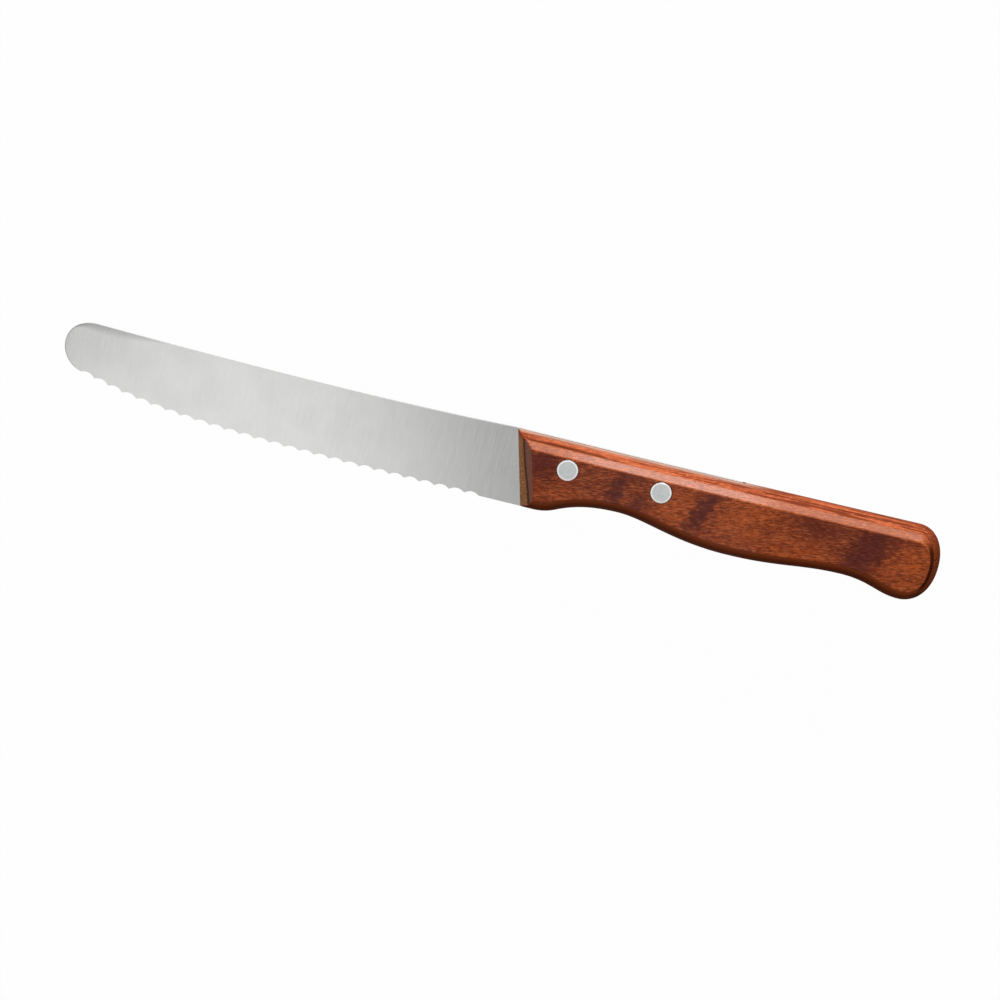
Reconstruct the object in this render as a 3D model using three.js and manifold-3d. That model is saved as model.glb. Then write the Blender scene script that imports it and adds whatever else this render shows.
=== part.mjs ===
// Brunch knife: a thin blade with a rounded nose and a wave-ground edge, its half tang let into the
// sawn slot of a one-piece hardwood handle and held by two flush cutler's rivets.
//
// The knife is drawn flat: the tip points to -X, the butt to +X, the spine to +Y, and Z is the
// thickness, with Z = 0 in the middle of the blade. X starts at the handle's front, on its top ridge,
// and Y at that ridge. At the end the finished knife is laid on the handle's flat side.

import * as THREE from 'three';
import { mergeVertices } from 'three/addons/utils/BufferGeometryUtils.js';
import Module from 'manifold-3d';

const wasm = await Module();
wasm.setup();

// Blade outline, in millimetres
const bladeLength = 115; // handle front to the nose
const bladeHeight = 19.3; // spine to edge at the handle
const spineDip = 1.7; // pull of the slightly hollow spine
const spineDipAt = 41.2; // distance of that pull from the handle
const spineRise = 0.6; // end of the spine above the handle's ridge
const noseTopRun = 7.3; // length of the nose along the spine
const noseDrop = 5.3; // foremost point of the nose below the handle's ridge
const noseTopPull = 3.1; // fullness of the nose above its foremost point
const noseSpinePull = 5.1; // fullness of the nose next to the spine
const noseBellyPull = 3.3; // fullness of the nose below its foremost point
const noseEdgePull = 2.8; // fullness of the nose next to the edge
const edgeStraight = 16; // straight part of the edge in front of the handle
const edgeLift = 0.06; // rise of that straight part towards the tip
const bellyPull = 72.5; // how long the belly follows the straight edge
const bellyNosePull = 16.1; // how long the belly follows its slope at the nose
const bellyNoseSlope = 13.6; // degrees
const bellyEndRun = 5.3; // end of the belly behind the foremost point
const bellyEndRise = 7.25; // end of the belly above the edge at the handle

// Blade section
const spineThickness = 1.2; // at the handle, and all over the tang
const spineThicknessTip = 0.9;
const edgeThickness = 0.5; // at the edge next to the handle, before it is ground
const grindRunIn = 1; // the ground part of the blade shows this far into the handle
const grindLap = 1; // and runs on this far inside the tang

// Wave-ground edge, hollowed from the far side only
const grindAngle = 18; // degrees, between the bevel and the blade
const wavePitch = 3.86;
const waveDepth = 0.66;
const toothLand = 0.3; // width of a tooth's point
const plainHeel = 10.5; // plain edge between the handle and the first tooth

// Handle outline: distances from the front or from the butt along X, and depths below the top ridge
const handleLength = 110.4;
const frontLean = 14.65; // degrees by which the front leans back towards the edge
const heelFlat = 6.5; // straight underside behind the front
const heelRamp = 28.5; // degrees
const grooveAt = 29.1; // finger groove behind the front
const grooveDepth = 15.05;
const swellAt = 58.8; // palm swell behind the front
const swellDepth = 19.1;
const waistToButt = 23.6; // waist in front of the butt
const waistDepth = 17.05;
const hookToButt = 8; // lowest point of the hook in front of the butt
const hookDepth = 19.8;
const buttDrop = 9.4; // rearmost point below the ridge
const topRound = 7.1; // length of the rounding at the end of the ridge
const ridgeDip = 0.45; // pull of the slightly hollow ridge
const ridgeDipAt = 46; // distance of that pull from the front

// How long each curve of that outline holds its direction, as a share of its span
const rampHold = 0.32;
const grooveHold = { front: 0.47, rear: 0.25 };
const swellHold = { front: 0.5, rear: 0.45 };
const waistHold = { front: 0.35, rear: 0.5 };
const hookHold = { front: 0.35, rear: 0.5 };
const buttHold = { low: 0.7, high: 0.5 };
const ridgeHold = 0.68;

// Handle section: a crowned rim, then a ground chamfer, then the flat side
const handleThickness = 13.6;
const chamferDepth = 1.9;
const crownPower = 1.6; // 1 would make the rim a ridged roof, 2 a round crown
const rimInset = { along: 1.4, front: 2.2, butt: 1.75 };
const chamferInset = { along: 1.9, front: 1.4, butt: 0.95 };

// Tang and its slot
const tangLength = 57.8;
const slotGap = 0.12; // on each side of the tang
const slotEndGap = 0.8; // between the tang's end and the end of the slot

// Cutler's rivets: a hollow half from one side, a solid half from the other
const frontRivetAt = 14.5; // behind the handle's front, along X
const rearRivetToEnd = 19.4; // in front of the tang's end
const rivetDrop = 6.4; // below the ridge
const headDiameter = 5.5;
const headThickness = 1.1;
const headRecess = 0.05; // heads lie this far below the wood
const sleeveDiameter = 3.6;
const pinDiameter = 2.2;
const pinEndGap = 0.5; // between the pin's end and the bottom of the sleeve
const sleeveEndGap = 0.4; // between the sleeve's end and the pin's head
const rivetGap = 0.1; // round each rivet part

// Fineness
const curveSteps = 14;
const crownSteps = 4;
const waveSteps = 8;
const roundSteps = 36;
const sameVertex = 1e-4; // corners closer than this are one

const degrees = Math.PI / 180;
const halfHandle = handleThickness / 2;
const heelY = -bladeHeight;
const leanPerDrop = Math.tan(frontLean * degrees);
const heelX = bladeHeight * leanPerDrop; // lower end of the slanted front
const rootX = grindRunIn + grindLap; // rear end of the ground part
const rivetAt = [frontRivetAt, tangLength - rearRivetToEnd];
const beyond = 2; // how far cutting tools reach past the material

// Meshes and solids

function merged(geometry) {
  const bare = geometry.clone();
  for (const name of Object.keys(bare.attributes)) {
    if (name !== 'position') bare.deleteAttribute(name);
  }
  return mergeVertices(bare, sameVertex);
}

function signedVolume(positions, triangles) {
  const [a, b, c] = [new THREE.Vector3(), new THREE.Vector3(), new THREE.Vector3()];
  let volume = 0;
  for (const [i, j, k] of triangles) {
    a.fromArray(positions, 3 * i);
    b.fromArray(positions, 3 * j);
    c.fromArray(positions, 3 * k);
    volume += a.dot(b.cross(c)) / 6;
  }
  return volume;
}

// A closed geometry as a solid, without the slivers at a turned part's axis and facing outwards
function solidOf(geometry) {
  const shared = merged(geometry);
  const positions = shared.attributes.position.array;
  const index = shared.index.array;
  const triangles = [];
  for (let i = 0; i < index.length; i += 3) {
    const [a, b, c] = index.subarray(i, i + 3);
    if (a !== b && b !== c && c !== a) triangles.push([a, b, c]);
  }
  if (signedVolume(positions, triangles) < 0) triangles.forEach((triangle) => triangle.reverse());
  return new wasm.Manifold(new wasm.Mesh({
    numProp: 3,
    vertProperties: new Float32Array(positions),
    triVerts: new Uint32Array(triangles.flat()),
  }));
}

function geometryOf(solid) {
  const mesh = solid.getMesh();
  const geometry = new THREE.BufferGeometry();
  geometry.setAttribute('position', new THREE.BufferAttribute(new Float32Array(mesh.vertProperties), 3));
  geometry.setIndex(new THREE.BufferAttribute(new Uint32Array(mesh.triVerts), 1));
  geometry.computeVertexNormals();
  return geometry;
}

// A skin over rings of equally many points, closed by a flat face at each end
function loft(rings) {
  const count = rings[0].length;
  const positions = rings.flat().flatMap((point) => [point.x, point.y, point.z]);
  const index = [];
  for (let ring = 0; ring + 1 < rings.length; ring += 1) {
    for (let i = 0; i < count; i += 1) {
      const next = (i + 1) % count;
      const [a, b] = [ring * count + i, ring * count + next];
      index.push(a, b, b + count, a, b + count, a + count);
    }
  }
  const last = (rings.length - 1) * count;
  const flat = (ring) => ring.map((point) => new THREE.Vector2(point.x, point.y));
  for (const [a, b, c] of THREE.ShapeUtils.triangulateShape(flat(rings[0]), [])) index.push(c, b, a);
  for (const [a, b, c] of THREE.ShapeUtils.triangulateShape(flat(rings.at(-1)), [])) {
    index.push(last + a, last + b, last + c);
  }
  const geometry = new THREE.BufferGeometry();
  geometry.setAttribute('position', new THREE.Float32BufferAttribute(positions, 3));
  geometry.setIndex(index);
  return geometry;
}

// A plate of even thickness, its middle at Z = 0
function plate(outline, thickness) {
  const shape = new THREE.Shape(outline);
  const geometry = new THREE.ExtrudeGeometry(shape, { depth: thickness, bevelEnabled: false });
  return geometry.translate(0, 0, -thickness / 2);
}

// A turned part with its axis along Z, from pairs of radius and height
function turned(profile) {
  const points = profile.map(([radius, height]) => new THREE.Vector2(radius, height));
  return new THREE.LatheGeometry(points, roundSteps).rotateX(Math.PI / 2);
}

// Outlines

const at = (x, y) => new THREE.Vector2(x, y);
const line = (from, to) => new THREE.LineCurve(from, to);
const bezier = (...points) => new THREE.CubicBezierCurve(...points);
const level = (point, length) => at(point.x + length, point.y);
const upright = (point, length) => at(point.x, point.y + length);
const heading = (angle, length) => at(length, 0).rotateAround(at(0, 0), angle * degrees);

// A wave from one crest or hollow to the next: level at both ends, each end held for its own share
function levelWave(from, to, holdFrom, holdTo) {
  const span = to.x - from.x;
  return bezier(from, level(from, holdFrom * span), level(to, -holdTo * span), to);
}

// Points of a chain of curves; straight pieces keep only their ends, and each end is given once
function pointsOf(curves) {
  return curves.flatMap((curve) => curve.getPoints(curve.isLineCurve ? 1 : curveSteps).slice(0, -1));
}

function handleCurves() {
  const ridgeFront = at(0, 0);
  const heelFront = at(heelX, heelY);
  const heelEnd = at(heelX + heelFlat, heelY);
  const groove = at(grooveAt, -grooveDepth);
  const swell = at(swellAt, -swellDepth);
  const waist = at(handleLength - waistToButt, -waistDepth);
  const hook = at(handleLength - hookToButt, -hookDepth);
  const butt = at(handleLength, -buttDrop);
  const ridgeEnd = at(handleLength - topRound, 0);
  const rampSpan = grooveAt - heelEnd.x;
  const rampPull = heading(heelRamp, rampHold * rampSpan);
  const buttSpan = hookDepth - buttDrop;
  return [
    line(ridgeFront, heelFront),
    line(heelFront, heelEnd),
    bezier(heelEnd, heelEnd.clone().add(rampPull), level(groove, -grooveHold.front * rampSpan), groove),
    levelWave(groove, swell, grooveHold.rear, swellHold.front),
    levelWave(swell, waist, swellHold.rear, waistHold.front),
    levelWave(waist, hook, waistHold.rear, hookHold.front),
    bezier(hook, level(hook, hookHold.rear * hookToButt), upright(butt, -buttHold.low * buttSpan), butt),
    bezier(butt, upright(butt, buttHold.high * buttDrop), level(ridgeEnd, ridgeHold * topRound), ridgeEnd),
    new THREE.QuadraticBezierCurve(ridgeEnd, at(ridgeDipAt, -ridgeDip), ridgeFront),
  ];
}

// The blade's curves, anticlockwise: edge from the handle to the nose, nose, spine back to the handle
function bladeCurves() {
  const edgeStart = at(heelX + rootX, heelY);
  const bellyStart = at(-edgeStraight, heelY + edgeLift);
  const bellyEnd = at(bellyEndRun - bladeLength, heelY + bellyEndRise);
  const nose = at(-bladeLength, -noseDrop);
  const spineEnd = at(noseTopRun - bladeLength, spineRise);
  const spinePull = at(-spineDipAt, -spineDip);
  const spineStart = at(0, 0);
  const edgeHeading = bellyStart.clone().sub(edgeStart).normalize();
  const spineHeading = spineEnd.clone().sub(spinePull).normalize();
  const noseHeading = heading(180 - bellyNoseSlope, 1);
  const pulled = (point, direction, length) => point.clone().addScaledVector(direction, length);
  const edge = [
    line(edgeStart, bellyStart),
    bezier(bellyStart, pulled(bellyStart, edgeHeading, bellyPull),
      pulled(bellyEnd, noseHeading, -bellyNosePull), bellyEnd),
  ];
  const rest = [
    bezier(bellyEnd, pulled(bellyEnd, noseHeading, noseEdgePull), at(nose.x, nose.y - noseBellyPull), nose),
    bezier(nose, at(nose.x, nose.y + noseTopPull), pulled(spineEnd, spineHeading, noseSpinePull), spineEnd),
    new THREE.QuadraticBezierCurve(spineEnd, spinePull, spineStart),
    line(spineStart, at(rootX, 0)),
  ];
  return { edge, rest, root: line(at(rootX, 0), edgeStart) };
}

// Handle

// Which way an edge of the outline faces, as shares that add up to one
function facing(normal) {
  const along = normal.y * normal.y;
  const ends = normal.x * normal.x;
  return { along, front: normal.x > 0 ? ends : 0, butt: normal.x > 0 ? 0 : ends };
}

function insetFor(normal, insets) {
  const share = facing(normal);
  return share.along * insets.along + share.front * insets.front + share.butt * insets.butt;
}

// How far each outline point moves inwards so that every edge is set in by its own amount
function insetMoves(outline, insets) {
  const count = outline.length;
  const inward = outline.map((point, i) => {
    const edge = outline[(i + 1) % count].clone().sub(point).normalize();
    return at(-edge.y, edge.x);
  });
  return outline.map((point, i) => {
    const [before, after] = [inward[(i + count - 1) % count], inward[i]];
    const [depthBefore, depthAfter] = [insetFor(before, insets), insetFor(after, insets)];
    const sine = before.cross(after);
    const cornerSine = 0.3;
    if (Math.abs(sine) > cornerSine) {
      return at(
        (depthBefore * after.y - depthAfter * before.y) / sine,
        (depthAfter * before.x - depthBefore * after.x) / sine,
      );
    }
    const depth = (depthBefore + depthAfter) / 2;
    return before.clone().add(after).multiplyScalar(depth / (1 + before.dot(after)));
  });
}

function handleSolid() {
  const outline = pointsOf(handleCurves());
  const rimMoves = insetMoves(outline, rimInset);
  const chamferMoves = insetMoves(outline, chamferInset);
  const rimHeight = halfHandle - chamferDepth;
  const ring = (height, rimShare, chamferShare) => outline.map((point, i) => {
    const moved = point.clone().addScaledVector(rimMoves[i], rimShare);
    moved.addScaledVector(chamferMoves[i], chamferShare);
    return new THREE.Vector3(moved.x, moved.y, height);
  });
  const rings = [ring(-halfHandle, 1, 1)];
  for (let step = -crownSteps; step <= crownSteps; step += 1) {
    const rise = step / crownSteps;
    rings.push(ring(rise * rimHeight, Math.abs(rise) ** crownPower, 0));
  }
  rings.push(ring(halfHandle, 1, 1));
  let handle = solidOf(loft(rings));

  const slotLength = tangLength + slotEndGap + beyond;
  const slotHeight = 2 * (hookDepth + beyond);
  const slot = new THREE.BoxGeometry(slotLength, slotHeight, spineThickness + 2 * slotGap);
  slot.translate(slotLength / 2 - beyond, 0, 0);
  handle = handle.subtract(solidOf(slot));
  for (const x of rivetAt) handle = handle.subtract(solidOf(rivetBore().translate(x, -rivetDrop, 0)));
  return handle;
}

// Stepped bore for one rivet: a counterbore for the head on each side
function rivetBore() {
  const headRadius = headDiameter / 2 + rivetGap;
  const holeRadius = sleeveDiameter / 2 + rivetGap;
  const shoulder = halfHandle - headRecess - headThickness - rivetGap;
  const end = halfHandle + beyond;
  return turned([
    [0, -end], [headRadius, -end], [headRadius, -shoulder], [holeRadius, -shoulder],
    [holeRadius, shoulder], [headRadius, shoulder], [headRadius, end], [0, end],
  ]);
}

// Blade

// Thickness of the ground blade, an even taper from spine to edge and from handle to tip
function bladeThickness(point) {
  const toEdge = (edgeThickness - spineThickness) * (-point.y / bladeHeight);
  const toTip = (spineThicknessTip - spineThickness) * ((rootX - point.x) / (rootX + bladeLength));
  return spineThickness + toEdge + toTip;
}

function bladeSolid() {
  const { edge, rest, root } = bladeCurves();
  const outline = pointsOf([...edge, ...rest, root]).reverse();
  const edgePoints = pointsOf(edge).length;
  const firstEdge = outline.length - edgePoints;
  const bevel = Math.tan(grindAngle * degrees);

  // The near face has the full outline; on the far face the edge is set in by its bevel
  const near = outline.map((point) => new THREE.Vector3(point.x, point.y, bladeThickness(point) / 2));
  const far = outline.map((point, i) => {
    const set = point.clone();
    if (i >= firstEdge) {
      const before = outline[Math.max(i - 1, firstEdge)];
      const after = outline[Math.min(i + 1, outline.length - 1)];
      const run = after.clone().sub(before).normalize();
      set.addScaledVector(at(-run.y, run.x), bladeThickness(point) / bevel);
    }
    return new THREE.Vector3(set.x, set.y, -bladeThickness(set) / 2);
  });
  let blade = solidOf(loft([far, near]));
  blade = blade.add(tangSolid());
  for (const wave of waveCutters(edge)) blade = blade.subtract(wave);
  return blade;
}

// The tang fills the handle's outline from just behind its front to the tang's end
function tangSolid() {
  const full = solidOf(plate(pointsOf(handleCurves()), spineThickness));
  const low = -(hookDepth + beyond);
  const window = plate([
    at(grindRunIn, 0), at(grindRunIn - low * leanPerDrop, low), at(tangLength, low), at(tangLength, beyond),
    at(grindRunIn, beyond),
  ], spineThickness + beyond);
  let tang = full.intersect(solidOf(window));
  const holeRadius = sleeveDiameter / 2 + rivetGap;
  for (const x of rivetAt) {
    const hole = turned([[0, -spineThickness], [holeRadius, -spineThickness], [holeRadius, spineThickness],
      [0, spineThickness]]);
    tang = tang.subtract(solidOf(hole.translate(x, -rivetDrop, 0)));
  }
  return tang;
}

// One round grinding tool for each wave. It enters from the far side, sloping up towards the spine,
// and just reaches the near face, where its cut has the wave's width at the edge and the wave's depth.
function waveCutters(edgeCurves) {
  const edge = new THREE.CurvePath();
  edgeCurves.forEach((curve) => edge.add(curve));
  const start = plainHeel + rootX;
  const run = edge.getLength() - start;
  const waves = Math.round(run / wavePitch);
  const pitch = run / waves;
  const sine = Math.sin(grindAngle * degrees);
  const cosine = Math.cos(grindAngle * degrees);
  const halfWidth = (pitch - toothLand) / 2;
  const radius = (halfWidth ** 2 + (waveDepth * sine) ** 2) / (2 * waveDepth * sine);

  // Across the tool: its round face, level at the deepest point, then square beyond the blade
  const toolWidth = 1.24; // in pitches, so that neighbouring tools overlap between the waves
  const reach = Math.asin(toolWidth * pitch / 2 / radius);
  const section = [];
  for (let step = -waveSteps; step <= waveSteps; step += 1) {
    const turn = reach * step / waveSteps;
    section.push(at(radius * Math.sin(turn), radius * Math.cos(turn) - radius));
  }
  const backY = -(waveDepth + 2 * spineThickness);
  section.push(at(section.at(-1).x, backY), at(section[0].x, backY));
  const toolLength = 2 * spineThickness / sine + 2 * waveDepth;
  const shape = new THREE.Shape(section);
  const tool = new THREE.ExtrudeGeometry(shape, { depth: 2 * toolLength, bevelEnabled: false });
  tool.translate(0, 0, -toolLength);

  return Array.from({ length: waves }, (_, i) => {
    const share = (start + (i + 0.5) * pitch) / edge.getLength();
    const middle = edge.getPointAt(share);
    const tangent = edge.getTangentAt(share);
    const inward = at(tangent.y, -tangent.x);
    const deepest = middle.clone().addScaledVector(inward, waveDepth);
    const along = new THREE.Vector3(tangent.x, tangent.y, 0);
    const axis = new THREE.Vector3(inward.x * cosine, inward.y * cosine, -sine);
    const up = new THREE.Vector3().crossVectors(axis, along);
    const placed = new THREE.Matrix4().makeBasis(along, up, axis);
    placed.setPosition(deepest.x, deepest.y, bladeThickness(deepest) / 2);
    return solidOf(tool.clone().applyMatrix4(placed));
  });
}

// Rivets

function sleeveSolid() {
  const outer = -halfHandle + headRecess;
  const inner = outer + headThickness;
  const tubeEnd = halfHandle - headRecess - headThickness - sleeveEndGap;
  const bore = pinDiameter / 2 + rivetGap;
  return solidOf(turned([
    [0, outer], [headDiameter / 2, outer], [headDiameter / 2, inner], [sleeveDiameter / 2, inner],
    [sleeveDiameter / 2, tubeEnd], [bore, tubeEnd], [bore, inner], [0, inner],
  ]));
}

function pinSolid() {
  const outer = halfHandle - headRecess;
  const inner = outer - headThickness;
  const end = -halfHandle + headRecess + headThickness + pinEndGap;
  return solidOf(turned([
    [0, end], [pinDiameter / 2, end], [pinDiameter / 2, inner], [headDiameter / 2, inner],
    [headDiameter / 2, outer], [0, outer],
  ]));
}

// Assembly

const finishes = {
  steel: { color: 0xc9cac9, roughness: 0.34, metalness: 1 },
  wood: { color: 0x7d3a20, roughness: 0.42, metalness: 0 },
  aluminium: { color: 0xbcc2c1, roughness: 0.3, metalness: 1 },
};

function piece(name, solid, finish) {
  const mesh = new THREE.Mesh(geometryOf(solid), new THREE.MeshStandardMaterial(finishes[finish]));
  mesh.name = name;
  return mesh;
}

const knife = new THREE.Group();
knife.add(piece('blade', bladeSolid(), 'steel'));
knife.add(piece('handle', handleSolid(), 'wood'));
['front', 'rear'].forEach((place, i) => {
  const rivet = new THREE.Group();
  rivet.position.set(rivetAt[i], -rivetDrop, 0);
  rivet.add(piece(`${place}_rivet_sleeve`, sleeveSolid(), 'aluminium'));
  rivet.add(piece(`${place}_rivet_pin`, pinSolid(), 'aluminium'));
  knife.add(rivet);
});

// The origin lies under the middle of the knife, on the surface that the handle's side rests on
const box = new THREE.Box3().setFromObject(knife);
const middle = box.getCenter(new THREE.Vector3());
knife.position.set(-middle.x, -middle.y, -box.min.z);

export default knife;
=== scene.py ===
# %% [markdown]
# # A brunch knife
#
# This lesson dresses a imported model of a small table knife: a thin satin blade with a wave-ground edge,
# a hardwood handle, and two flush rivets that hold the handle to the tang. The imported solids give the
# places and sizes. Every piece here is drawn again with finer curves and softened edges, because it is
# the thin highlights along such edges that make a model look made rather than computed.

from math import ceil, cos, pi, radians, sin, sqrt, tan

import bmesh
import bpy
import numpy as np
from mathutils import Matrix, Vector


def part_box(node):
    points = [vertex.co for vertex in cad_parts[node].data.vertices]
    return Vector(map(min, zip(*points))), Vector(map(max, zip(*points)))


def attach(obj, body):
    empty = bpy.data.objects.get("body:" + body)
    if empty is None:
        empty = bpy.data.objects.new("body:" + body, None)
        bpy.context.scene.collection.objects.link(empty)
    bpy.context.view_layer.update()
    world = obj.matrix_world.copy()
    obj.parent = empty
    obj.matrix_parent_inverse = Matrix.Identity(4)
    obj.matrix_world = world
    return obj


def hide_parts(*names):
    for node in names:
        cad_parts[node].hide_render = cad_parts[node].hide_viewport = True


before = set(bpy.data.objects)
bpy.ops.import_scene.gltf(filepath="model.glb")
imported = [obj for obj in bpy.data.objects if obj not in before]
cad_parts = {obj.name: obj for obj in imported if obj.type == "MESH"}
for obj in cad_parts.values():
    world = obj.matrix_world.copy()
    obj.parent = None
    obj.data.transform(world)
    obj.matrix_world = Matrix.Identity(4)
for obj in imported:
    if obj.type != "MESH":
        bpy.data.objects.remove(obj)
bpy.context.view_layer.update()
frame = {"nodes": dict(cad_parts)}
MM = 0.001
handle_low, handle_high = (Vector(corner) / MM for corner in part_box("handle"))
print("CAD nodes:", ", ".join(frame["nodes"]))

# %% [markdown]
# ## The drawing frame
#
# A knife maker draws a knife flat, with the top of the handle as the base line. So all the outlines
# below are in millimetres from one corner, the front end of the handle's top ridge: X runs back to the
# butt, Y up to the spine, and Z through the thickness from the middle of the blade. The handle's packed
# box says where that corner lies in the model's own frame.

# %% Drawing frame
HANDLE_LENGTH = 110.4
corner = Vector((handle_high.x - HANDLE_LENGTH, handle_high.y, (handle_low.z + handle_high.z) / 2))
half_handle = (handle_high.z - handle_low.z) / 2
print("front corner of the ridge, mm:", [round(value, 2) for value in corner])


def flat(x, y):
    return np.array((x, y), dtype=float)


# %% [markdown]
# ## Curves
#
# Each outline is a chain of straight lines and Bezier curves, as it would be in a drawing program. It
# could also be traced with many single points, but a few pulls keep it smooth and easy to change. A curve
# gives its points without the last one, which the next curve gives. Half a millimetre between points keeps
# the facets far below what shows. Beside a sharp corner the spacing is wider, because the corner of an
# inset outline slides along its edges and must not pass the next point.

# %% Curve helpers
SPACING = 0.5
LEAST_STEPS = 6
CORNER_STEPS = 7


def bezier(start, pull, counter_pull, end, spacing=SPACING):
    steps = max(LEAST_STEPS, ceil(np.linalg.norm(end - start) / spacing))
    points = []
    for step in range(steps):
        t = step / steps
        points.append((1 - t) ** 3 * start + 3 * t * (1 - t) ** 2 * pull
                      + 3 * t ** 2 * (1 - t) * counter_pull + t ** 3 * end)
    return points


def arch(start, pull, end, spacing=SPACING):
    """A curve with one pull, which both of its ends lean towards."""
    return bezier(start, (start + 2 * pull) / 3, (end + 2 * pull) / 3, end, spacing)


def level_wave(start, end, hold_start, hold_end):
    """A curve that is level at both ends and stays nearly level there for a share of its span."""
    span = end[0] - start[0]
    return bezier(start, start + flat(hold_start * span, 0), end - flat(hold_end * span, 0), end)


def soft_corner(start, sharp, end):
    """Points on the short curve that takes the place of a sharp corner."""
    shares = np.linspace(0, 1, CORNER_STEPS)
    return [(1 - t) ** 2 * start + 2 * t * (1 - t) * sharp + t ** 2 * end for t in shares]


print("points on a low arch of 10 mm:", len(arch(flat(0, 0), flat(5, 2), flat(10, 0))))

# %% [markdown]
# ## From rings to a skin
#
# The handle, the blade and the rivets are all skins over a stack of rings with equally many points. The
# first and last rings are closed by one flat face each. Extruding an outline would be quicker, but every
# ring of a skin can have its own inset and height, which crowns, chamfers and tapers need. The tools that
# cut slots and bores are small skins too.

# %% Skins
ROUND_STEPS = 96


def skin(name, rings):
    count = len(rings[0])
    mesh = bpy.data.meshes.new(name)
    points = [(corner + Vector(point)) * MM for ring in rings for point in ring]
    panels = []
    for ring in range(len(rings) - 1):
        for i in range(count):
            a = ring * count + i
            b = ring * count + (i + 1) % count
            panels.append((a, b, b + count, a + count))
    last = (len(rings) - 1) * count
    panels.append(tuple(reversed(range(count))))
    panels.append(tuple(range(last, last + count)))
    mesh.from_pydata(points, [], panels)
    tidy = bmesh.new()
    tidy.from_mesh(mesh)
    bmesh.ops.recalc_face_normals(tidy, faces=tidy.faces)
    tidy.to_mesh(mesh)
    tidy.free()
    piece = bpy.data.objects.new(name, mesh)
    bpy.context.scene.collection.objects.link(piece)
    return piece


def box_tool(name, low, high):
    ring = [(low[0], low[1]), (high[0], low[1]), (high[0], high[1]), (low[0], high[1])]
    return skin(name, [[(x, y, z) for x, y in ring] for z in (low[2], high[2])])


def turned(name, centre, profile):
    """Spins a profile of radii and heights round an axis."""
    turns = [2 * pi * step / ROUND_STEPS for step in range(ROUND_STEPS)]
    rings = []
    for radius, height in profile:
        rings.append([(centre[0] + radius * cos(t), centre[1] + radius * sin(t), height) for t in turns])
    return skin(name, rings)


print("a turned piece has", ROUND_STEPS, "points round its axis")

# %% [markdown]
# ## Cuts and shading
#
# On the bench the slot is sawn and the bores are drilled after the handle has its outline. The same order
# works here: the Boolean modifier cuts with its exact solver, and the result is applied, so that the
# finished piece is a plain closed mesh. Smooth shading alone would bend the light on the flat faces, so
# corners past an angle stay crisp and weighted normals keep the flat faces flat beside softened edges.

# %% Cuts and shading
SHARP_ANGLE = radians(40)
FLAT_FACE_WEIGHT = 100


def settle(piece):
    """Applies the modifiers of a piece."""
    graph = bpy.context.evaluated_depsgraph_get()
    made = bpy.data.meshes.new_from_object(piece.evaluated_get(graph))
    piece.modifiers.clear()
    piece.data = made


def combine(piece, tool, operation):
    modifier = piece.modifiers.new(operation, "BOOLEAN")
    modifier.operation = operation
    modifier.solver = "EXACT"
    modifier.object = tool
    settle(piece)
    bpy.data.objects.remove(tool)


def finish_mesh(piece):
    """Smooth shading with crisp corners, and flat faces that stay flat."""
    mesh = piece.data
    mesh.shade_smooth()
    mesh.set_sharp_from_angle(angle=SHARP_ANGLE)
    modifier = piece.modifiers.new("flat faces stay flat", "WEIGHTED_NORMAL")
    modifier.keep_sharp = True
    modifier.weight = FLAT_FACE_WEIGHT
    print(f"{piece.name}: {len(mesh.vertices)} points, {len(mesh.polygons)} faces")


print(f"corners sharper than {np.degrees(SHARP_ANGLE):.0f} degrees stay crisp")

# %% [markdown]
# ## Outline of the handle
#
# Seen from its side, the handle starts with a slanted front, runs up from a short flat heel into a finger
# groove, swells out in the palm, and ends in a hooked butt that keeps the hand from slipping off. The
# stations below are distances from the front and depths below the ridge. Each curve is level at its
# station and holds its direction there for a share of its span, so the whole underside is one smooth
# wave. Where the heel turns up into the groove, the corner is sanded round.

# %% Handle outline
BLADE_HEIGHT = 19.3
FRONT_LEAN = radians(14.65)
HEEL_FLAT = 6.5
HEEL_RAMP = radians(28.5)
HEEL_ROUND = 3
BUTT_DROP = 9.4
TOP_ROUND = 7.1
RAMP_HOLD = 0.32
GROOVE_HOLD = {"front": 0.47, "rear": 0.25}
SWELL_HOLD = {"front": 0.5, "rear": 0.45}
WAIST_HOLD = {"front": 0.35, "rear": 0.5}
HOOK_HOLD = {"front": 0.35, "rear": 0.5}
BUTT_HOLD = {"low": 0.7, "high": 0.5}
RIDGE_HOLD = 0.68
RIDGE_SPACING = 6
ridge_front = flat(0, 0)
heel = flat(BLADE_HEIGHT * tan(FRONT_LEAN), -BLADE_HEIGHT)
heel_end = heel + flat(HEEL_FLAT, 0)
groove = flat(29.1, -15.05)
swell = flat(58.8, -19.1)
waist = flat(HANDLE_LENGTH - 23.6, -17.05)
hook = flat(HANDLE_LENGTH - 8, -19.8)
butt = flat(HANDLE_LENGTH, -BUTT_DROP)
ridge_end = flat(HANDLE_LENGTH - TOP_ROUND, 0)
ridge_pull = flat(46, -0.45)


def heel_to_groove():
    span = groove[0] - heel_end[0]
    up_the_ramp = RAMP_HOLD * span * flat(cos(HEEL_RAMP), sin(HEEL_RAMP))
    slope = bezier(heel_end, heel_end + up_the_ramp, groove - flat(GROOVE_HOLD["front"] * span, 0), groove)
    slope = [point for point in slope if np.linalg.norm(point - heel_end) > HEEL_ROUND]
    return [*arch(heel_end - flat(HEEL_ROUND, 0), heel_end, slope[0]), *slope]


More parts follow.
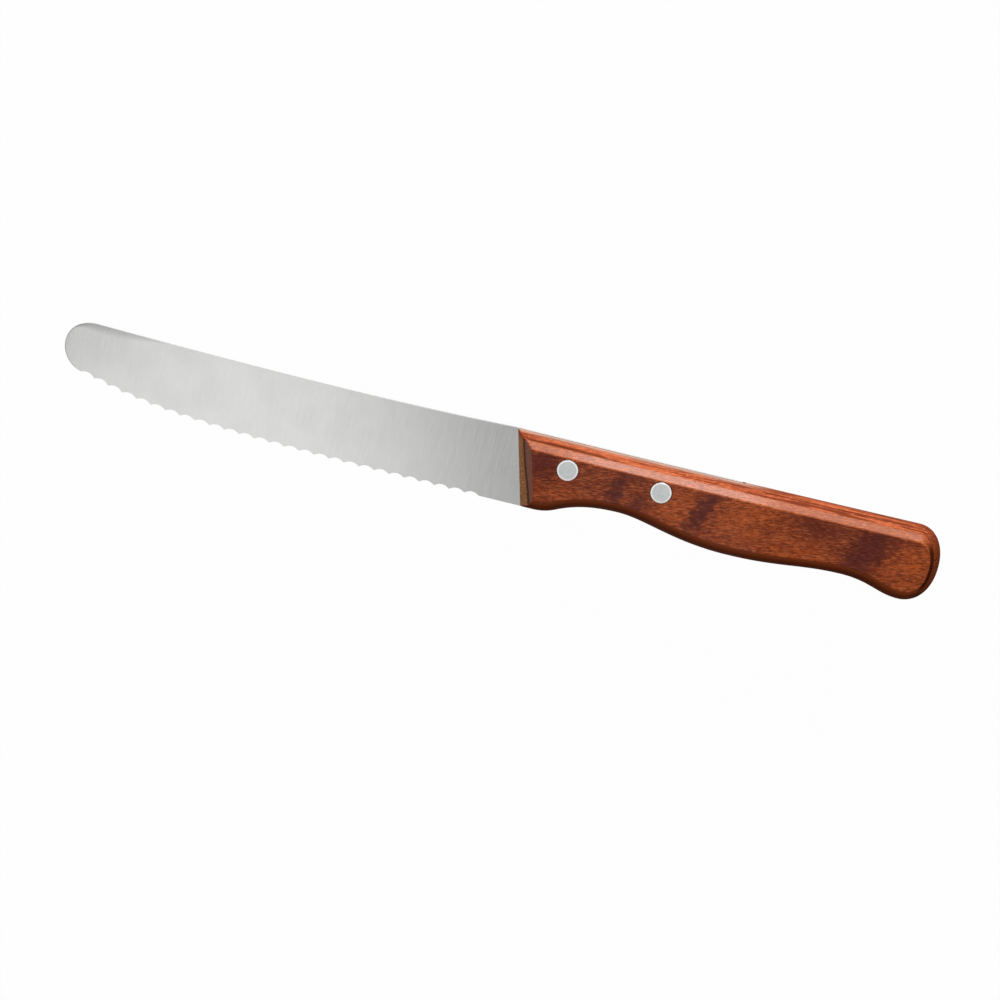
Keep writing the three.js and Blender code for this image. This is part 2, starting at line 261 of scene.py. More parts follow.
def round_the_butt():
    hook_pull = hook + flat(HOOK_HOLD["rear"] * (butt[0] - hook[0]), 0)
    low_pull = butt - flat(0, BUTT_HOLD["low"] * (butt[1] - hook[1]))
    high_pull = butt + flat(0, BUTT_HOLD["high"] * BUTT_DROP)
    top_pull = ridge_end + flat(RIDGE_HOLD * TOP_ROUND, 0)
    return [*bezier(hook, hook_pull, low_pull, butt), *bezier(butt, high_pull, top_pull, ridge_end)]


outline = [
    ridge_front,
    heel,
    *heel_to_groove(),
    *level_wave(groove, swell, GROOVE_HOLD["rear"], SWELL_HOLD["front"]),
    *level_wave(swell, waist, SWELL_HOLD["rear"], WAIST_HOLD["front"]),
    *level_wave(waist, hook, WAIST_HOLD["rear"], HOOK_HOLD["front"]),
    *round_the_butt(),
    *arch(ridge_end, ridge_pull, ridge_front, RIDGE_SPACING),
]
print("handle outline:", len(outline), "points")

# %% [markdown]
# ## Setting in the outline
#
# A wide chamfer is ground between the rim of the handle and each flat side. A bevel modifier could cut
# such a chamfer, but only with one width, and this one is wider along the handle than at its ends. So
# every edge of the outline is set in by its own amount, and a corner moves to where its two set-in edges
# meet. Short curves then take the place of the outline's three sharp corners.

# %% Inset outlines
RIM_INSET = {"along": 1.4, "front": 2.2, "butt": 1.75}
CHAMFER_INSET = {"along": 1.9, "front": 1.4, "butt": 0.95}
CORNER_SINE = 0.3
OUTLINE_ROUND = 0.45
EDGE_SHARE = 0.45


def unit(vector):
    return vector / np.linalg.norm(vector)


def cross(a, b):
    return a[0] * b[1] - a[1] * b[0]


def inset_for(inward, insets):
    ends = insets["front"] if inward[0] > 0 else insets["butt"]
    return inward[1] ** 2 * insets["along"] + inward[0] ** 2 * ends


def inset_moves(points, insets):
    """How far and where each point of the outline moves when the edges are set in."""
    count = len(points)
    edges = [unit(points[(i + 1) % count] - points[i]) for i in range(count)]
    inward = [flat(-edge[1], edge[0]) for edge in edges]
    moves = []
    for i in range(count):
        before, after = inward[i - 1], inward[i]
        depths = inset_for(before, insets), inset_for(after, insets)
        sine = cross(before, after)
        if abs(sine) > CORNER_SINE:
            moves.append(flat(depths[0] * after[1] - depths[1] * before[1],
                              depths[1] * before[0] - depths[0] * after[0]) / sine)
        else:
            moves.append((before + after) * sum(depths) / 2 / (1 + before @ after))
    return moves


def rounded_corners(points, moves):
    """Swaps each sharp corner of the outline for a short curve that moves as the corner did."""
    soft = []
    for i, here in enumerate(points):
        before = here - points[i - 1]
        after = points[(i + 1) % len(points)] - here
        curve = [here]
        if abs(cross(unit(before), unit(after))) >= CORNER_SINE:
            start = here - unit(before) * min(OUTLINE_ROUND, EDGE_SHARE * np.linalg.norm(before))
            end = here + unit(after) * min(OUTLINE_ROUND, EDGE_SHARE * np.linalg.norm(after))
            curve = soft_corner(start, here, end)
        soft += [(point, *(move[i] for move in moves)) for point in curve]
    return soft


soft_outline = rounded_corners(
    outline, (inset_moves(outline, RIM_INSET), inset_moves(outline, CHAMFER_INSET)))
print("outline with soft corners:", len(soft_outline), "points")

# %% [markdown]
# ## Section of the handle
#
# The rim round the handle is slightly crowned, as a belt sander leaves it. Seen in section, the surface
# runs from the middle over the crown to the rim's corner, down the chamfer and on to the flat side, and a
# little sanding has broken both corners. Each stop on that way becomes one ring, which is the outline set
# in by a share of the rim's and of the chamfer's inset. A subdivision surface would round these corners
# too, but it would also soften what has to stay flat.

# %% Handle rings
CHAMFER_DEPTH = 1.9
CROWN_POWER = 1.6
CROWN_STEPS = 12
CROWN_END = 0.93
SOFT_SHARE = 0.16
rim_height = half_handle - CHAMFER_DEPTH


def section():
    """Height, share of the rim's inset and share of the chamfer's inset, from the middle up."""
    rises = np.linspace(0, CROWN_END, CROWN_STEPS)
    stops = [(rise * rim_height, rise ** CROWN_POWER, 0.0) for rise in rises]
    rim_corner = np.array((rim_height, 1, 0))
    side_corner = np.array((half_handle, 1, 1))
    on_chamfer = SOFT_SHARE * (side_corner - rim_corner)
    on_side = SOFT_SHARE * np.array((0, 0, 1))
    stops += map(tuple, soft_corner(np.array(stops[-1]), rim_corner, rim_corner + on_chamfer))
    stops += map(tuple, soft_corner(side_corner - on_chamfer, side_corner, side_corner + on_side))
    return stops


stops = section()
mirrored = [(-height, rim, chamfer) for height, rim, chamfer in reversed(stops[1:])]
handle_rings = []
for height, rim_share, chamfer_share in mirrored + stops:
    places = [point + rim_share * rim + chamfer_share * chamfer for point, rim, chamfer in soft_outline]
    handle_rings.append([(x, y, height) for x, y in places])
print("handle rings:", len(handle_rings), "of", len(soft_outline), "points")

# %% [markdown]
# ## The handle
#
# The handle is sawn open from the front for the tang, and bored from both sides for the rivets, with a
# counterbore for each head. On the real knife the saw cut shows along the ridge as a steel line with a
# small dark gap behind its end. A painted line could stand for it, but a cut with real depth gives the
# gap its own shade from every side, so the skin is closed first and then cut.

# %% Handle piece
TANG_THICKNESS = 1.2
TANG_LENGTH = 57.8
SLOT_GAP = 0.12
SLOT_END_GAP = 0.8
SLOT_REACH = 30
RIVETS = {"front": flat(14.5, -6.4), "rear": flat(TANG_LENGTH - 19.4, -6.4)}
HEAD_DIAMETER = 5.5
HEAD_THICKNESS = 1.1
HEAD_RECESS = 0.05
SLEEVE_DIAMETER = 3.6
RIVET_GAP = 0.1
BEYOND = 2

handle = skin("handle_with_chamfers", handle_rings)
slot_half = TANG_THICKNESS / 2 + SLOT_GAP
combine(handle, box_tool("slot", (-BEYOND, -SLOT_REACH, -slot_half),
                         (TANG_LENGTH + SLOT_END_GAP, BEYOND, slot_half)), "DIFFERENCE")


def rivet_bore(place):
    head = HEAD_DIAMETER / 2 + RIVET_GAP
    hole = SLEEVE_DIAMETER / 2 + RIVET_GAP
    shoulder = half_handle - HEAD_RECESS - HEAD_THICKNESS - RIVET_GAP
    end = half_handle + BEYOND
    return turned("bore", place, [(head, -end), (head, -shoulder), (hole, -shoulder),
                                  (hole, shoulder), (head, shoulder), (head, end)])


for place in RIVETS.values():
    combine(handle, rivet_bore(place), "DIFFERENCE")
finish_mesh(handle)

# %% [markdown]
# ## Outline of the blade
#
# The edge runs almost straight from the handle, then rises in a long belly to a broad round nose. The
# spine is slightly hollow. Like the handle, the outline is a chain of curves with named pulls. The edge is
# kept apart from the rest, because it is measured along its length before the waves are laid on it.

# %% Blade outline
BLADE_LENGTH = 115
ROOT = 2
EDGE_STRAIGHT = flat(-16, 0.06 - BLADE_HEIGHT)
BELLY_END = flat(5.3 - BLADE_LENGTH, 7.25 - BLADE_HEIGHT)
BELLY_SLOPE = radians(13.6)
BELLY_PULL = 72.5
BELLY_NOSE_PULL = 16.1
NOSE = flat(-BLADE_LENGTH, -5.3)
NOSE_EDGE_PULL = 2.8
NOSE_BELLY_PULL = 3.3
NOSE_TOP_PULL = 3.1
NOSE_SPINE_PULL = 5.1
SPINE_END = flat(7.3 - BLADE_LENGTH, 0.6)
SPINE_PULL = flat(-41.2, -1.7)
STRAIGHT_STEPS = 120
edge_start = heel + flat(ROOT, 0)
into_nose = flat(-cos(BELLY_SLOPE), sin(BELLY_SLOPE))


def edge_curve():
    forward = unit(EDGE_STRAIGHT - edge_start)
    shares = np.linspace(0, 1, STRAIGHT_STEPS)[:-1]
    straight = [edge_start + share * (EDGE_STRAIGHT - edge_start) for share in shares]
    belly = bezier(EDGE_STRAIGHT, EDGE_STRAIGHT + BELLY_PULL * forward,
                   BELLY_END - BELLY_NOSE_PULL * into_nose, BELLY_END)
    return np.array([*straight, *belly, BELLY_END])


def rest_of_blade():
    edge_pull = BELLY_END + NOSE_EDGE_PULL * into_nose
    spine_end_pull = SPINE_END + NOSE_SPINE_PULL * unit(SPINE_END - SPINE_PULL)
    low = bezier(BELLY_END, edge_pull, NOSE - flat(0, NOSE_BELLY_PULL), NOSE)
    high = bezier(NOSE, NOSE + flat(0, NOSE_TOP_PULL), spine_end_pull, SPINE_END)
    spine = arch(SPINE_END, SPINE_PULL, ridge_front)
    return [*low[1:], *high, *spine, ridge_front, flat(ROOT, 0)]


edge = edge_curve()
steps_along = np.linalg.norm(np.diff(edge, axis=0), axis=1)
run_along = np.concatenate(([0], np.cumsum(steps_along)))
print(f"edge before its waves: {run_along[-1]:.1f} mm long")

# %% [markdown]
# ## Waves along the edge
#
# A round wheel grinds one wave after the other into the far side of the blade only. Where a wave reaches
# the near side it cuts a shallow scallop out of the edge, and between two scallops a narrow point is left
# standing. A sine along the edge would look softer than a ground edge does. So the wheel's radius is worked
# out from the depth and the length of a wave, and the scallops get the shape that such a wheel gives them.

# %% Waved edge
GRIND_ANGLE = radians(18)
WAVE_PITCH = 3.86
WAVE_DEPTH = 0.66
TOOTH_LAND = 0.3
PLAIN_HEEL = 10.5
HEEL_STEPS = 16
WAVE_STEPS = 17
LOOK_ASIDE = 0.2
wave_start = PLAIN_HEEL + ROOT
wave_count = round((run_along[-1] - wave_start) / WAVE_PITCH)
pitch = (run_along[-1] - wave_start) / wave_count
half_wave = (pitch - TOOTH_LAND) / 2
bevel_depth = WAVE_DEPTH * sin(GRIND_ANGLE)
wheel = (half_wave ** 2 + bevel_depth ** 2) / (2 * bevel_depth)
print(f"{wave_count} waves, {pitch:.2f} mm apart, ground by a wheel of {wheel:.2f} mm radius")


def scallop(offset):
    """How deep the wave is at a distance from its middle, measured on the near side."""
    if abs(offset) >= half_wave:
        return 0.0
    return WAVE_DEPTH - (wheel - sqrt(wheel ** 2 - offset ** 2)) / sin(GRIND_ANGLE)


def edge_at(run):
    return flat(np.interp(run, run_along, edge[:, 0]), np.interp(run, run_along, edge[:, 1]))


def waved_edge():
    """Points along the waves, each with the direction into the blade."""
    stations = list(np.linspace(0, wave_start, HEEL_STEPS)[:-1])
    for wave in range(wave_count):
        middle = wave_start + (wave + 0.5) * pitch
        stations += [middle + share * half_wave for share in np.linspace(-1, 1, WAVE_STEPS)]
    points = []
    for run in stations:
        forward = unit(edge_at(run + LOOK_ASIDE) - edge_at(run - LOOK_ASIDE))
        inward = flat(forward[1], -forward[0])
        offset = (run - wave_start) % pitch - pitch / 2
        depth = scallop(offset) if run >= wave_start else 0.0
        points.append((edge_at(run) + depth * inward, inward))
    points.append((BELLY_END, inward))
    return points


# %% [markdown]
# ## The blade
#
# The blade tapers evenly from the spine to the edge and from the handle to the tip. The lines of a wave
# are straight along the wheel's path, so each point of the near edge has a partner on the far side,
# shifted inwards by the bevel, and straight strips between the two make the whole fluted grind. Cutting
# every wave with its own tool would give the same form with far more work. The spine is a plain blanked
# edge. Buffing has broken the rim of the nose, and turned it down more where the nose runs into the
# spine, so a few rings lead from the flat face out to the edge and sink there.

# %% Blade piece
SPINE_THICKNESS_TIP = 0.9
EDGE_THICKNESS = 0.5
RING_SHARES = (1, 0.75, 0.5, 0.25, 0)
FACE_MARGIN = 0.3
NOSE_STATIONS = (-110, -100)
NOSE_DROP = 0.012
BUFFED_STATIONS = (-113.5, -109, -102, -90)
BUFFED_ABOVE = -5
BUFFED_WIDTH = 1.9
BUFFED_DROP = 0.042
GRIND_FADE = 2.5


def thickness(point):
    to_edge = (EDGE_THICKNESS - TANG_THICKNESS) * -point[1] / BLADE_HEIGHT
    to_tip = (SPINE_THICKNESS_TIP - TANG_THICKNESS) * (ROOT - point[0]) / (ROOT + BLADE_LENGTH)
    return TANG_THICKNESS + to_edge + to_tip


def blade_stations():
    """Outline points with their inward directions, and 1 where the edge is left square."""
    ground = waved_edge()
    points = [point for point, _ in ground] + rest_of_blade()
    stations = []
    run = 0.0
    for i, point in enumerate(points):
        if i < len(ground):
            stations.append((point, ground[i][1], 0.0))
            continue
        run += np.linalg.norm(point - points[i - 1])
        after = points[(i + 1) % len(points)]
        forward = unit(unit(point - points[i - 1]) + unit(after - point))
        stations.append((point, flat(forward[1], -forward[0]), min(1.0, run / GRIND_FADE)))
    return stations


def blade_rings():
    stations = blade_stations()
    rings = []
    for share in RING_SHARES:
        ring = []
        for point, inward, square in stations:
            nose = square * np.interp(point[0], NOSE_STATIONS, (1, 0))
            buffed = square * np.interp(point[0], BUFFED_STATIONS, (0, 1, 1, 0)) * (point[1] > BUFFED_ABOVE)
            place = point + share * (FACE_MARGIN + BUFFED_WIDTH * buffed) * inward
            drop = (1 - share) ** 2 * (NOSE_DROP * nose + BUFFED_DROP * buffed)
            ring.append((*place, thickness(place) / 2 - drop))
        rings.append(ring)
    far_ring = []
    for point, inward, square in stations:
        place = point + (1 - square) * thickness(point) / tan(GRIND_ANGLE) * inward
        far_ring.append((*place, -thickness(place) / 2))
    return [*rings, far_ring]


blade = skin("wave_ground_blade", blade_rings())
print("blade before its tang:", len(blade.data.vertices), "points")

# %% [markdown]
# ## The tang
#
# Behind the handle's front the blade runs on as a flat tang of even thickness, which follows the handle's
# outline and ends in the middle of it. Only its edges can be seen, as a bright line along the ridge and
# along the underside. It is added to the blade, because both are one piece of sheet, and bored for the
# rivets.

# %% Tang
TANG_START = 1
RIDGE_BAND = 1
below = [point for point in outline[2:] if point[0] < TANG_LENGTH and point[1] < -BUTT_DROP]
above = [point for point in outline if TANG_START < point[0] < TANG_LENGTH and point[1] > -RIDGE_BAND]
end_depth = np.interp(TANG_LENGTH, (below[-1][0], swell[0]), (below[-1][1], swell[1]))
tang_outline = [
    flat(TANG_START, above[-1][1]), heel + flat(TANG_START, 0), *below,
    flat(TANG_LENGTH, end_depth), flat(TANG_LENGTH, above[0][1]), *above,
]
tang = skin("tang", [[(x, y, side * TANG_THICKNESS / 2) for x, y in tang_outline] for side in (-1, 1)])
combine(blade, tang, "UNION")
hole = SLEEVE_DIAMETER / 2 + RIVET_GAP
for place in RIVETS.values():
    combine(blade, turned("hole", place, [(hole, -BEYOND), (hole, BEYOND)]), "DIFFERENCE")
finish_mesh(blade)

# %% [markdown]
# ## Rivets
#
# Each rivet is a pair: a hollow half from one side and a solid half from the other, pressed into each
# other and ground flush with the wood. They are turned parts, so a profile of radii and heights is spun
# round the axis. A small round at the head's rim catches the light as a pale ring.

# %% Rivet pieces
PIN_DIAMETER = 2.2
PIN_END_GAP = 0.5
SLEEVE_END_GAP = 0.4
HEAD_ROUND = 0.4
HEAD_ROUND_STEPS = 6
face = half_handle - HEAD_RECESS
inner = face - HEAD_THICKNESS
head = HEAD_DIAMETER / 2
tube = SLEEVE_DIAMETER / 2
pin = PIN_DIAMETER / 2
bore = pin + RIVET_GAP
sleeve_end = inner - SLEEVE_END_GAP


def head_round(outer, inward_sign):
    """Profile round the rim of a head, from its outer face inwards."""
    middle = head - HEAD_ROUND
    turns = np.linspace(0, pi / 2, HEAD_ROUND_STEPS)
    return [(middle + HEAD_ROUND * sin(t), outer + inward_sign * HEAD_ROUND * (1 - cos(t))) for t in turns]


hollow_half = [*head_round(-face, 1), (head, -inner), (tube, -inner), (tube, sleeve_end),
               (bore, sleeve_end), (bore, -inner)]
solid_half = [*head_round(face, -1), (head, inner), (pin, inner), (pin, -inner + PIN_END_GAP)]
rivets = {}
for name, place in RIVETS.items():
    rivets[f"{name}_rivet_sleeve"] = turned(f"{name}_rivet_hollow_half", place, hollow_half)
    rivets[f"{name}_rivet_pin"] = turned(f"{name}_rivet_solid_half", place, solid_half)
for rivet in rivets.values():
    finish_mesh(rivet)

# %% [markdown]
# ## Helpers for materials
#
# A procedural material is a graph of nodes. It could be wired by hand in the shader editor, but written
# down it can be read and changed line by line. One helper places a node, sets its options and either links
# or sets its inputs. The others are short names for sums that come up again and again.

# %% Node helpers
def put(tree, kind, inputs=None, **options):
    made = tree.nodes.new("ShaderNode" + kind)
    for name, value in options.items():
        setattr(made, name, value)
    for name, value in (inputs or {}).items():
        socket = made.inputs[name]
        if isinstance(value, bpy.types.NodeSocket):
            tree.links.new(value, socket)
        else:
            socket.default_value = value
    return made


def reckon(tree, operation, *values):
    return put(tree, "Math", dict(enumerate(values)), operation=operation).outputs[0]


def times(tree, first, second):
    return reckon(tree, "MULTIPLY", first, second)


def either(tree, first, second):
    """The larger of two masks."""
    return reckon(tree, "MAXIMUM", first, second)


def ramp(tree, value, low, high, to_low=0.0, to_high=1.0):
    made = put(tree, "MapRange", {"Value": value, "From Min": low, "From Max": high, "To Min": to_low,
                                  "To Max": to_high}, interpolation_type="SMOOTHSTEP")
    return made.outputs[0]


print("node helpers: put, reckon, times, either and ramp")

# %% [markdown]
# ## Colours and places
#
# Colours are written as a picture program shows them, from 0 to 255, and turned into the linear light
# that the shaders reckon with. All patterns are measured in millimetres in the drawing frame. An unwrapped
# surface would do as well, but then a fleck's size and place could not be read off the numbers.

# %% Colour and place helpers
def colour(red, green, blue):
    """The sRGB curve, turned round."""
    parts = [part / 255 for part in (red, green, blue)]
    return (*[part / 12.92 if part <= 0.04045 else ((part + 0.055) / 1.055) ** 2.4 for part in parts], 1)


def blend(tree, share, low, high):
    return put(tree, "Mix", {0: share, 6: low, 7: high}, data_type="RGBA").outputs[2]


def paint(tree, under, mask, strength, over):
    """Lays a colour over another one where a mask says so."""
    return blend(tree, times(tree, mask, strength), under, colour(*over))


def millimetres(tree):
    place = put(tree, "TexCoord").outputs["Object"]
    drawn = put(tree, "VectorMath", {0: place, 1: (1 / MM,) * 3, 2: -corner}, operation="MULTIPLY_ADD")
    return drawn.outputs[0]


def new_material(name):
    material = bpy.data.materials.new(name)
    material.use_nodes = True
    tree = material.node_tree
    return material, tree, tree.nodes["Principled BSDF"]


print(f"middle grey in linear light: {colour(128, 128, 128)[0]:.3f}")

# %% [markdown]
# ## Shared patterns
#
# Brush lines in steel and flecks in wood are the same pattern at different scales: noise that is drawn
# out in one direction. A second pattern, soft blotches, stands for uneven polish and finger marks. A
# third group says how far a surface faces in one direction, because a ground face, a blanked edge and a
# sawn end look different on the same piece. Each material could hold its own copy of them, but as node
# groups they are written once and placed with other sizes.

# %% Pattern groups
FLOAT, VECTOR = "NodeSocketFloat", "NodeSocketVector"


def new_group(name, inputs):
    """A node group with these inputs, which puts out one value."""
    group = bpy.data.node_groups.new(name, "ShaderNodeTree")
    for label, kind in inputs:
        group.interface.new_socket(label, in_out="INPUT", socket_type=kind)
    group.interface.new_socket("Value", in_out="OUTPUT", socket_type=FLOAT)
    given = group.nodes.new("NodeGroupInput")
    result = group.nodes.new("NodeGroupOutput")
    return group, given.outputs, result.inputs


streaks, given, result = new_group("drawn_out_streaks", [
    ("Position", VECTOR), ("Streak size", VECTOR), ("From", FLOAT), ("To", FLOAT)])
stretched = put(streaks, "VectorMath", {0: given["Position"], 1: given["Streak size"]}, operation="DIVIDE")
grainy = put(streaks, "TexNoise", {"Vector": stretched.outputs[0], "Scale": 1.0, "Detail": 2.0,
                                   "Roughness": 0.6})
streaks.links.new(ramp(streaks, grainy.outputs[0], given["From"], given["To"]), result[0])

blotches, given, result = new_group("soft_blotches", [("Position", VECTOR), ("Size", FLOAT)])
scaled = put(blotches, "VectorMath", {0: given["Position"]}, operation="SCALE")
blotches.links.new(reckon(blotches, "DIVIDE", 1.0, given["Size"]), scaled.inputs["Scale"])
cloudy = put(blotches, "TexNoise", {"Vector": scaled.outputs[0], "Scale": 1.0, "Detail": 3.0,
                                    "Roughness": 0.5})
blotches.links.new(ramp(blotches, cloudy.outputs[0], 0.3, 0.7), result[0])

facing, given, result = new_group("faces_towards", [("Direction", VECTOR), ("From", FLOAT), ("To", FLOAT)])
normal = put(facing, "TexCoord").outputs["Normal"]
turn = put(facing, "VectorMath", {0: normal, 1: given["Direction"]}, operation="DOT_PRODUCT")
facing.links.new(ramp(facing, turn.outputs["Value"], given["From"], given["To"]), result[0])


def pattern(tree, group, **inputs):
    named = {name.replace("_", " "): value for name, value in inputs.items()}
    return put(tree, "Group", named, node_tree=group).outputs[0]


def drawn_out(tree, position, size, low, high):
    return pattern(tree, streaks, Position=position, Streak_size=size, From=low, To=high)


def faces(tree, direction, low, high):
    return pattern(tree, facing, Direction=direction, From=low, To=high)


print("node groups:", ", ".join(group.name for group in (streaks, blotches, facing)))

# %% [markdown]
# ## Satin steel
#
# The blade is ground across its length and left satin: very fine lines from spine to edge, with a few
# coarser ones among them. An anisotropic shader could stand for them, but then a close view would show no
# lines. So they change the steel's brightness and roughness a little, and a slight bump makes the highlight
# grainy. The spine and the nose keep the dull edge that the blanking press leaves, which scatters light
# more than it mirrors it. The tang's edge was sanded paler together with the wood.

# %% Steel material
LINE_DARK, LINE_PALE = (220, 220, 219), (229, 229, 228)
BLANKED_EDGE, SANDED_EDGE = (166, 165, 163), (178, 175, 172)
FINE_SHARE = 0.7
SATIN_ROUGHNESS = (0.165, 0.2)
EDGE_ROUGHNESS = 0.6
EDGE_METALLIC = 0.3
FRONT_BAND = 0.2
SCRATCH_DEPTH = 0.02 * MM
steel, tree, shader = new_material("satin_steel")
place = millimetres(tree)
fine = drawn_out(tree, place, (0.13, 7.0, 4.0), 0.3, 0.7)
coarse = drawn_out(tree, place, (0.45, 13.0, 4.0), 0.35, 0.7)
clouds = pattern(tree, blotches, Position=place, Size=9.0)
lines = reckon(tree, "ADD", times(tree, fine, FINE_SHARE), times(tree, coarse, 1 - FINE_SHARE))
ground_face = faces(tree, (0, 0, 1), 0.8, 0.95)
face_colour = blend(tree, lines, colour(*LINE_DARK), colour(*LINE_PALE))
on_tang = ramp(tree, put(tree, "SeparateXYZ", {0: place}).outputs["X"], -FRONT_BAND, FRONT_BAND)
edge_colour = blend(tree, on_tang, colour(*BLANKED_EDGE), colour(*SANDED_EDGE))
tree.links.new(blend(tree, ground_face, edge_colour, face_colour), shader.inputs["Base Color"])
satin = ramp(tree, reckon(tree, "ADD", lines, clouds), 0.0, 2.0, *SATIN_ROUGHNESS)
dull = times(tree, reckon(tree, "SUBTRACT", 1.0, ground_face), EDGE_ROUGHNESS)
tree.links.new(either(tree, satin, dull), shader.inputs["Roughness"])
tree.links.new(ramp(tree, ground_face, 0.0, 1.0, EDGE_METALLIC, 1.0), shader.inputs["Metallic"])
bump = put(tree, "Bump", {"Strength": 0.05, "Distance": SCRATCH_DEPTH, "Height": lines})
tree.links.new(bump.outputs[0], shader.inputs["Normal"])
print("satin_steel:", len(tree.nodes), "nodes")

# %% [markdown]
# ## Ground aluminium
#
# A pale ring on their rims is a painted highlight. Each head could have a material of
# its own, but one is enough when it measures the distance to the nearest rivet's axis.

# %% Aluminium material
FACE_DARK, FACE_PALE = (195, 200, 200), (211, 214, 213)
HEAD_RIM_HIGHLIGHT = (252, 250, 246)
HEAD_RIM_HIGHLIGHT_BAND = (0.6, 0.4)
FACE_ROUGHNESS = (0.38, 0.5)
RIVET_METALLIC = 0.3
aluminium, tree, shader = new_material("ground_aluminium")
place = millimetres(tree)
scratches = drawn_out(tree, place, (2.2, 0.14, 0.6), 0.3, 0.75)
clouds = pattern(tree, blotches, Position=place, Size=1.6)
tone = reckon(tree, "ADD", times(tree, scratches, 0.5), times(tree, clouds, 0.5))
from_axes = []
for axis in RIVETS.values():
    apart = put(tree, "VectorMath", {0: place, 1: (*axis, 0)}, operation="SUBTRACT").outputs[0]
    across = put(tree, "VectorMath", {0: apart, 1: (1, 1, 0)}, operation="MULTIPLY").outputs[0]
    from_axes.append(put(tree, "VectorMath", {0: across}, operation="LENGTH").outputs["Value"])
from_axis = reckon(tree, "MINIMUM", *from_axes)
# painted highlight: a near-white ring round the rim of each head
head_rim_highlight = ramp(tree, from_axis, *(HEAD_DIAMETER / 2 - inset for inset in HEAD_RIM_HIGHLIGHT_BAND))
face_colour = blend(tree, tone, colour(*FACE_DARK), colour(*FACE_PALE))
tree.links.new(blend(tree, head_rim_highlight, face_colour, colour(*HEAD_RIM_HIGHLIGHT)), shader.inputs["Base Color"])
tree.links.new(ramp(tree, tone, 0.0, 1.0, *FACE_ROUGHNESS), shader.inputs["Roughness"])
shader.inputs["Metallic"].default_value = RIVET_METALLIC
bump = put(tree, "Bump", {"Strength": 0.08, "Distance": SCRATCH_DEPTH, "Height": scratches})
tree.links.new(bump.outputs[0], shader.inputs["Normal"])
print("ground_aluminium:", len(tree.nodes), "nodes")

# %% [markdown]
# ## Zones in the wood
#
# The handle is a close-grained, reddish brown hardwood. Dark, purplish zones lean across it, as heartwood
# does where a board is cut at a slant, and between them the wood glows in a warm orange brown. Plain noise
# would scatter such zones anywhere. So a node group draws one soft zone that leans, and two short lists say
# where the larger ones lie. Each has its centre, lean, half width, reach up and down, and strength.

# %% Zone group
ZONE_EDGE, ZONE_CORE = 1.4, 0.3
zone, given, result = new_group("leaning_zone", [
    ("Position", VECTOR), ("Centre", VECTOR), ("Lean", FLOAT), ("Half width", FLOAT), ("Reach", FLOAT),
    ("Strength", FLOAT)])
apart = put(zone, "VectorMath", {0: given["Position"], 1: given["Centre"]}, operation="SUBTRACT")
offset = put(zone, "SeparateXYZ", {0: apart.outputs[0]}).outputs
upright = reckon(zone, "SUBTRACT", offset["X"], times(zone, offset["Y"], given["Lean"]))
across = reckon(zone, "DIVIDE", upright, given["Half width"])
along = reckon(zone, "DIVIDE", offset["Y"], given["Reach"])
far = reckon(zone, "SQRT", reckon(zone, "ADD", times(zone, across, across), times(zone, along, along)))
zone.links.new(times(zone, ramp(zone, far, ZONE_EDGE, ZONE_CORE), given["Strength"]), result[0])


def zones(tree, position, places):
    """Lays leaning zones over each other."""
    total = 0.0
    for x, y, lean, half_width, reach, strength in places:
        one = pattern(tree, zone, Position=position, Centre=(x, y, 0), Lean=lean, Half_width=half_width,
                      Reach=reach, Strength=strength)
        total = either(tree, total, one)
    return total


DARK_ZONES = [
    (8.0, -5.8, 0.1, 4.8, 5.5, 0.85),
    (28.0, -7.5, 0.25, 2.0, 6.0, 0.9),
    (30.0, -4.2, 0.0, 3.5, 1.8, 0.6),
    (33.4, -10.8, 0.3, 1.8, 2.6, 0.75),
    (49.8, -8.6, 0.5, 2.4, 6.5, 0.95),
    (91.6, -8.5, 0.5, 5.8, 9.5, 0.9),
    (80.0, -5.0, 0.3, 10.0, 3.6, 0.5),
]
WARM_ZONES = [
    (42.0, -10.0, 0.4, 5.0, 6.0, 0.95),
    (60.0, -8.5, 0.4, 8.0, 8.0, 1.0),
    (73.0, -13.0, 0.0, 12.0, 4.0, 0.8),
    (102.5, -12.0, 0.5, 6.0, 8.0, 0.9),
    (17.0, -13.0, 0.3, 6.0, 3.0, 0.4),
]
print("zones in the wood:", len(DARK_ZONES), "dark,", len(WARM_ZONES), "warm")

# %% [markdown]
# ## Grain of the wood
#
# What makes this wood look alive is its flecks: short, fine marks, darker and lighter than the wood, that
# run at a small angle to the handle. On the rim the same grain is cut lengthwise and shows as long dark
# lines. All of them are the drawn-out noise from above, each with its own size. Slow noise pushes the
# zones about, so that they get ragged edges.

# %% Grain
GRAIN_LEAN = radians(9)
RAGGED = (6.0, 2.5, 0.0)
NOISE_MIDDLE = (0.5, 0.5, 0.5)
wood, tree, shader = new_material("figured_wood")
place = millimetres(tree)
leaning = put(tree, "VectorRotate", {"Vector": place, "Angle": -GRAIN_LEAN}, rotation_type="Z_AXIS")
grain = leaning.outputs[0]
wander = put(tree, "TexNoise", {"Vector": grain, "Scale": 0.55, "Detail": 4.0})
shift = put(tree, "VectorMath", {0: wander.outputs["Color"], 1: NOISE_MIDDLE}, operation="SUBTRACT")
ragged = put(tree, "VectorMath", {0: shift.outputs[0], 1: RAGGED, 2: place}, operation="MULTIPLY_ADD")
dark = zones(tree, ragged.outputs[0], DARK_ZONES)
warm = zones(tree, ragged.outputs[0], WARM_ZONES)
broad = drawn_out(tree, grain, (14.0, 4.0, 6.0), 0.3, 0.7)
mottle = drawn_out(tree, grain, (3.4, 1.1, 1.5), 0.35, 0.65)
dark_flecks = drawn_out(tree, grain, (1.35, 0.29, 0.6), 0.45, 0.62)
light_flecks = drawn_out(tree, grain, (1.5, 0.32, 0.6), 0.48, 0.64)
